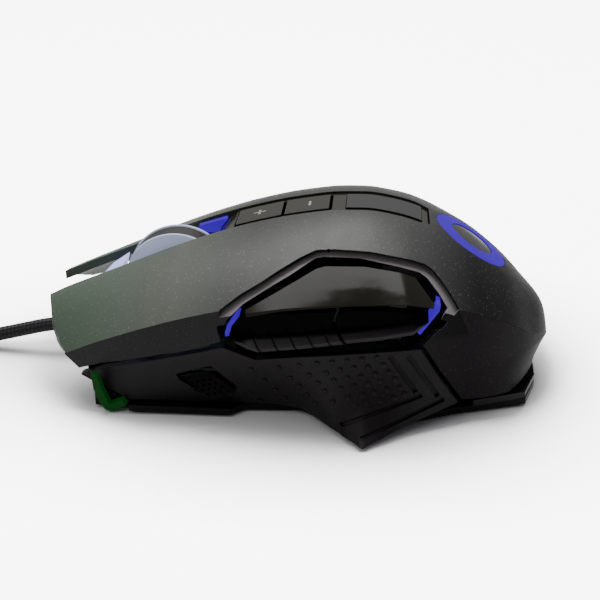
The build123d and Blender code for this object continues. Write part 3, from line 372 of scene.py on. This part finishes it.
def thumb_key_material():
    """Soft black, with painted shade: deep black on the band under the trim and a little lighter on the grip lip
    below it.
    """
    m, nt, b, tc = plastic("thumb_key", (0.008, 0.0055, 0.0075), 0.5, vary=0.1, bump=0.25, bump_scale=6000, bevel=0.15, spec=0.2)
    mul = [n for n in nt.nodes if n.type == "VECT_MATH"][0]
    sep = nt.nodes.new("ShaderNodeSeparateXYZ")
    nt.links.new(tc.outputs["Object"], sep.inputs[0])
    height = math_node(nt, "SUBTRACT", sep.outputs["Z"], math_node(nt, "MULTIPLY", sep.outputs["X"], 0.125))
    under_trim_shade = map_range(nt, height, 0.0217, 0.0223, smooth=True)
    nt.links.new(mix_colour(nt, under_trim_shade, (0.0095, 0.0068, 0.0088), (0.0006, 0.0005, 0.0006)), mul.inputs[0])
    nt.links.new(map_range(nt, under_trim_shade, 0.0, 1.0, 0.25, 0.03), b.inputs["Specular IOR Level"])
    return m


THUMB = thumb_key_material()
TRIM = plastic("trim_gloss", (0.0052, 0.0047, 0.0022), 0.12, vary=0.04, bevel=0.2, spec=0.08)[0]


def braid_material():
    m, nt, b = new_mat("braid")
    tc = nt.nodes.new("ShaderNodeTexCoord")
    sep = nt.nodes.new("ShaderNodeSeparateXYZ")
    nt.links.new(tc.outputs["UV"], sep.inputs[0])
    sines = []
    for sign in (1, -1):
        a = nt.nodes.new("ShaderNodeMath")
        a.operation = "MULTIPLY"
        a.inputs[1].default_value = 2 * math.pi * 900
        nt.links.new(sep.outputs["X"], a.inputs[0])
        c = nt.nodes.new("ShaderNodeMath")
        c.operation = "MULTIPLY_ADD"
        c.inputs[1].default_value = sign * 2 * math.pi * 6
        nt.links.new(sep.outputs["Y"], c.inputs[0])
        nt.links.new(a.outputs[0], c.inputs[2])
        s = nt.nodes.new("ShaderNodeMath")
        s.operation = "SINE"
        nt.links.new(c.outputs[0], s.inputs[0])
        sines.append(s)
    w = nt.nodes.new("ShaderNodeMath")
    w.operation = "MULTIPLY"
    nt.links.new(sines[0].outputs[0], w.inputs[0])
    nt.links.new(sines[1].outputs[0], w.inputs[1])
    mr = nt.nodes.new("ShaderNodeMapRange")
    mr.inputs["From Min"].default_value = -1.0
    mr.inputs["From Max"].default_value = 1.0
    nt.links.new(w.outputs[0], mr.inputs["Value"])
    mix = nt.nodes.new("ShaderNodeMix")
    mix.data_type = "RGBA"
    mix.inputs["A"].default_value = (0.003, 0.003, 0.004, 1)
    mix.inputs["B"].default_value = (0.016, 0.016, 0.018, 1)
    nt.links.new(mr.outputs["Result"], mix.inputs["Factor"])
    nt.links.new(mix.outputs["Result"], b.inputs["Base Color"])
    b.inputs["Roughness"].default_value = 0.6
    b.inputs["Specular IOR Level"].default_value = 0.2
    bp = nt.nodes.new("ShaderNodeBump")
    bp.inputs["Strength"].default_value = 0.6
    bp.inputs["Distance"].default_value = 0.0003
    nt.links.new(mr.outputs["Result"], bp.inputs["Height"])
    nt.links.new(bp.outputs["Normal"], b.inputs["Normal"])
    return m


MATS["braid"] = braid_material()
cable.data.materials.append(MATS["braid"])

slot_of = {s["node"]: s["material_slot"] for s in frame["record"]["subparts"]}
for name, obj in NODES.items():
    key = slot_of[name]
    if key == "shell_grey" or name == "top_cover":
        key = "cover"
    obj.data.materials.clear()
    obj.data.materials.append(THUMB if name.startswith("side_button") else TRIM if name == "side_trim" else MATS[key])

# ---------------------------------------------------------------- detail pieces
def surface(*names):
    """Rays against the CAD pieces named."""
    verts, faces = [], []
    for nm in names:
        o = NODES[nm]
        base_i = len(verts)
        verts += [o.matrix_world @ q.co for q in o.data.vertices]
        faces += [[base_i + i for i in p.vertices] for p in o.data.polygons]
    return BVHTree.FromPolygons(verts, faces)


def seen_at(tree, right_mm, up_mm):
    """Point of the surface met by a line of sight, given as offsets from the middle of the view at 300 mm."""
    side = look.cross(Vector((0, 0, 1))).normalized()
    top_dir = side.cross(look)
    aim = (look * 0.300 + side * right_mm * MM + top_dir * up_mm * MM).normalized()
    hit = tree.ray_cast(cam.location, aim)
    if hit[0] is None:
        return None, None
    n = hit[1] if hit[1].dot(aim) < 0 else -hit[1]
    return hit[0], n.normalized()


def dome(verts, faces, centre, normal, radius, height):
    t = normal.orthogonal().normalized()
    w = normal.cross(t)
    start = len(verts)
    rings = [(1.0, -0.15), (0.96, 0.45), (0.80, 0.80), (0.5, 0.96)]
    n = 20
    for rr, hh in rings:
        for i in range(n):
            a = 2 * math.pi * i / n
            verts.append(centre + (t * math.cos(a) + w * math.sin(a)) * radius * rr * MM + normal * height * hh * MM)
    verts.append(centre + normal * height * MM)
    tip = len(verts) - 1
    for k in range(len(rings) - 1):
        for i in range(n):
            j = (i + 1) % n
            faces.append((start + k * n + i, start + k * n + j, start + (k + 1) * n + j, start + (k + 1) * n + i))
    last = start + (len(rings) - 1) * n
    for i in range(n):
        faces.append((last + i, last + (i + 1) % n, tip))
    faces.append(tuple(start + i for i in reversed(range(n))))


def piece(name, verts, faces, body, material, smooth=True):
    o = mesh_object(name, verts, faces, smooth)
    o.data.materials.append(MATS[material])
    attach(o, body)
    return o


# small raised pads of the thumb panel
PADS = [(-12.2, -17.4), (-5.5, -16.9), (-0.2, -16.4), (4.2, -15.9), (8.0, -15.6), (11.8, -15.2), (15.5, -14.9), (19.2, -14.5),
        (-2.5, -19.5), (2.2, -18.8), (6.5, -18.3), (10.0, -17.5), (13.5, -17.0), (17.0, -16.8), (20.8, -16.2),
        (-8.8, -20.2), (4.5, -20.8), (8.5, -20.2), (11.8, -19.5), (15.2, -19.2), (18.8, -18.6), (22.2, -18.1),
        (-6.0, -22.5), (-0.2, -21.5), (6.2, -22.8), (10.2, -22.2), (13.5, -21.5), (17.0, -21.0), (20.2, -20.4), (23.8, -19.9),
        (-12.5, -23.2), (-3.8, -24.5), (1.8, -23.8), (15.5, -23.8), (18.5, -23.2), (21.8, -22.5), (25.0, -21.9),
        (-10.0, -25.2), (12.0, -24.5), (23.5, -24.5), (26.2, -23.5), (3.8, -26.0), (8.2, -25.5), (13.8, -26.5), (16.8, -26.0), (20.0, -25.2)]
tree = surface("left_side_panel")
pv, pf = [], []
for right_mm, up_mm in PADS:
    at, normal = seen_at(tree, right_mm, up_mm)
    if at is not None:
        dome(pv, pf, at, normal, 0.66, 0.34)
if pf:
    piece("panel_pads", pv, pf, "case", "soft_black")


def mark(name, node, body, middle, bars):
    """Thin print laid on the top of a key: bars are half lengths along and across the body."""
    t = surface(node)
    mv, mf = [], []
    for hx, hy in bars:
        grid = []
        for i in range(7):
            row = []
            for j in range(7):
                x = middle[0] + hx * (i / 3.0 - 1)
                y = middle[1] + hy * (j / 3.0 - 1)
                hit = t.ray_cast(v(x, y, 60), Vector((0, 0, -1)))
                if hit[0] is None:
                    return
                mv.append(hit[0] + Vector((0, 0, 0.03 * MM)))
                row.append(len(mv) - 1)
            grid.append(row)
        for i in range(6):
            for j in range(6):
                mf.append((grid[i][j], grid[i + 1][j], grid[i + 1][j + 1], grid[i][j + 1]))
    piece(name, mv, mf, body, "print", False)


mark("plus_mark", "dpi_up_button", "dpi_up", (-9.8, 0.2), [(1.5, 0.28), (0.28, 1.5)])
mark("minus_mark", "dpi_down_button", "dpi_down", (2.4, 0.2), [(0.28, 1.5)])

# flexible web that joins each key to the cover along its hinge line
tree = surface("left_button", "right_button", "top_cover")
wv, wf = [], []
previous = None
STEPS = 360
for i in range(STEPS + 1):
    a = math.pi * (i / STEPS)
    direction = Vector((0, math.cos(a), math.sin(a)))
    ends = []
    for x in (7.72, 8.28):
        start = v(x, 0, 12) + direction * 0.060
        hit = tree.ray_cast(start, -direction, 0.048)
        ends.append(hit[0])
    if ends[0] is None or ends[1] is None or (ends[0] - ends[1]).length > 0.0012:
        previous = None
        continue
    radial = [(e - v(0, 0, 12)).dot(direction) for e in ends]
    lift_mm = 0.01 * MM
    ring = []
    for e, inset in ((ends[0], lift_mm), (ends[1], lift_mm), (ends[1], -0.5 * MM), (ends[0], -0.5 * MM)):
        wv.append(e + direction * inset)
        ring.append(len(wv) - 1)
    if previous is not None and (wv[ring[0]] - wv[previous[0]]).length < 0.0012:
        for k in range(4):
            m_ = (k + 1) % 4
            wf.append((previous[k], previous[m_], ring[m_], ring[k]))
    previous = ring
if wf:
    piece("hinge_web", wv, wf, "case", "cover", False)

# dark sheet behind the rear thumb light, standing in for the shade seen there
piece("shade_sheet_rear", [v(x, y, z) for x, y, z in [(31.6, -25.6, 21), (38.2, -25.6, 21), (38.2, -25.6, 29), (36.0, -25.6, 30.6), (31.6, -25.6, 30.6),
                                                  (31.6, -24.8, 21), (38.2, -24.8, 21), (38.2, -24.8, 29), (36.0, -24.8, 30.6), (31.6, -24.8, 30.6)]],
      [(0, 1, 2, 3, 4), (9, 8, 7, 6, 5), (0, 5, 6, 1), (1, 6, 7, 2), (2, 7, 8, 3), (3, 8, 9, 4), (4, 9, 5, 0)], "case", "case_black", False)

# a second dark sheet further in, also standing in for shade
shade_line = [(20.0, 20.0), (39.0, 20.0), (39.0, 27.5), (35.5, 31.2), (30.5, 33.2), (26.0, 34.2), (20.0, 34.4)]
m_ = len(shade_line)
piece("shade_sheet_inner", [v(x, y, z) for y in (-21.0, -20.4) for x, z in shade_line],
      [tuple(range(m_)), tuple(reversed(range(m_, 2 * m_)))] + [(k, m_ + k, m_ + (k + 1) % m_, (k + 1) % m_) for k in range(m_)],
      "case", "case_black", False)

# dark inner lip of the bottom shell behind the gap between the left key and the thumb panel; its black stands in for
# the shade in the gap
lip_line = [(-48.3, 6.0, 9.2), (-46.0, 6.0, 9.8), (-43.0, 6.0, 10.6), (-38.0, 6.0, 12.0)]
lv = [v(x, y, z) for y in (-25.3, -24.7) for x, z0, z1 in lip_line for z in (z0, z1)]
lf = []
for k in range(3):
    a = 2 * k
    lf += [(a, a + 2, a + 3, a + 1), (8 + a, 8 + a + 1, 8 + a + 3, 8 + a + 2), (a + 1, a + 3, 8 + a + 3, 8 + a + 1), (a, 8 + a, 8 + a + 2, a + 2)]
lf += [(0, 1, 9, 8), (6, 14, 15, 7)]
piece("base_inner_lip", lv, lf, "case", "case_black", False)

# tapered, ribbed strain relief
sv, sf = [], []
profile = [(-46.9, 1.76), (-46.9, 2.9), (-48.2, 2.9), (-48.4, 2.5), (-48.9, 2.5), (-49.1, 2.8), (-50.1, 2.75), (-50.3, 2.35), (-50.8, 2.35), (-51.0, 2.65),
           (-52.0, 2.6), (-52.2, 2.2), (-52.7, 2.2), (-52.9, 2.5), (-53.9, 2.4), (-54.1, 2.05), (-54.6, 2.05), (-54.8, 2.3), (-56.2, 2.1), (-56.6, 1.95), (-56.6, 1.76)]
n = 28
for x, r in profile:
    zc = 8.36 if x > -52 else 8.36 + (x + 52) * 0.045
    for i in range(n):
        a = 2 * math.pi * i / n
        sv.append(v(x, r * math.cos(a), zc + r * math.sin(a)))
for k in range(len(profile)):
    k2 = (k + 1) % len(profile)
    for i in range(n):
        j = (i + 1) % n
        sf.append((k * n + i, k2 * n + i, k2 * n + j, k * n + j))
relief = piece("strain_relief_boot", sv, sf, "case", "rubber", False)
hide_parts("strain_relief")

# ---------------------------------------------------------------- stage
floor = mesh_object("floor", [(-6, -6, 0), (6, -6, 0), (6, 6, 0), (-6, 6, 0)], [(0, 1, 2, 3)], False)
fm, fnt, fb, ftc = plastic("floor_paper", (0.80, 0.80, 0.80), 0.7, vary=0.01, scale=3.0, spec=0.3)
# the floor glows for camera rays, less where ambient occlusion is strong near the mouse: a painted contact shadow
seen = fnt.nodes.new("ShaderNodeLightPath")
lift = fnt.nodes.new("ShaderNodeMath")
lift.operation = "MULTIPLY"
near = fnt.nodes.new("ShaderNodeAmbientOcclusion")
near.samples = 24
near.inputs["Distance"].default_value = 0.045
painted_contact_shadow = math_node(fnt, "POWER", near.outputs["AO"], 2.4)
fnt.links.new(map_range(fnt, painted_contact_shadow, 0.36, 1.0, 0.0, FLOOR_LIFT), lift.inputs[1])
fnt.links.new(seen.outputs["Is Camera Ray"], lift.inputs[0])
fb.inputs["Emission Color"].default_value = (1.0, 1.0, 0.99, 1)
fnt.links.new(lift.outputs[0], fb.inputs["Emission Strength"])
floor.data.materials.append(fm)

world = bpy.data.worlds.new("studio")
bpy.context.scene.world = world
world.use_nodes = True
wnt = world.node_tree
bg = wnt.nodes["Background"]
wtc = wnt.nodes.new("ShaderNodeTexCoord")
wsep = wnt.nodes.new("ShaderNodeSeparateXYZ")
wnt.links.new(wtc.outputs["Generated"], wsep.inputs[0])
# bright overhead and behind, dim on the near side
overhead = map_range(wnt, wsep.outputs["Z"], 0.10, 0.85, 0.35, 1.0, smooth=True)
behind = map_range(wnt, wsep.outputs["Y"], -0.75, 0.55, NEAR_SIDE, 1.0, smooth=True)
shade = math_node(wnt, "MULTIPLY", overhead, behind)
wlp = wnt.nodes.new("ShaderNodeLightPath")
level = wnt.nodes.new("ShaderNodeMix")
level.data_type = "FLOAT"
wnt.links.new(wlp.outputs["Is Camera Ray"], level.inputs["Factor"])
wnt.links.new(math_node(wnt, "MULTIPLY", shade, WORLD), level.inputs["A"])
level.inputs["B"].default_value = BACKDROP
bg.inputs["Color"].default_value = (1.0, 1.0, 1.0, 1)
wnt.links.new(level.outputs["Result"], bg.inputs["Strength"])


def area(name, loc, target, size, power, colour=(1, 1, 1)):
    ld = bpy.data.lights.new(name, "AREA")
    ld.shape = "RECTANGLE"
    ld.size, ld.size_y = size
    ld.energy = power
    ld.color = colour
    o = link(bpy.data.objects.new(name, ld))
    o.location = loc
    o.rotation_mode = "QUATERNION"
    o.rotation_quaternion = (Vector(target) - Vector(loc)).to_track_quat("-Z", "Y")
    return o


area("key", (-0.10, 0.30, 0.75), (0, 0, 0.02), (0.7, 0.5), KEY)
area("fill", (-0.35, -0.55, 0.55), (0, 0, 0.02), (0.5, 0.4), FILL)
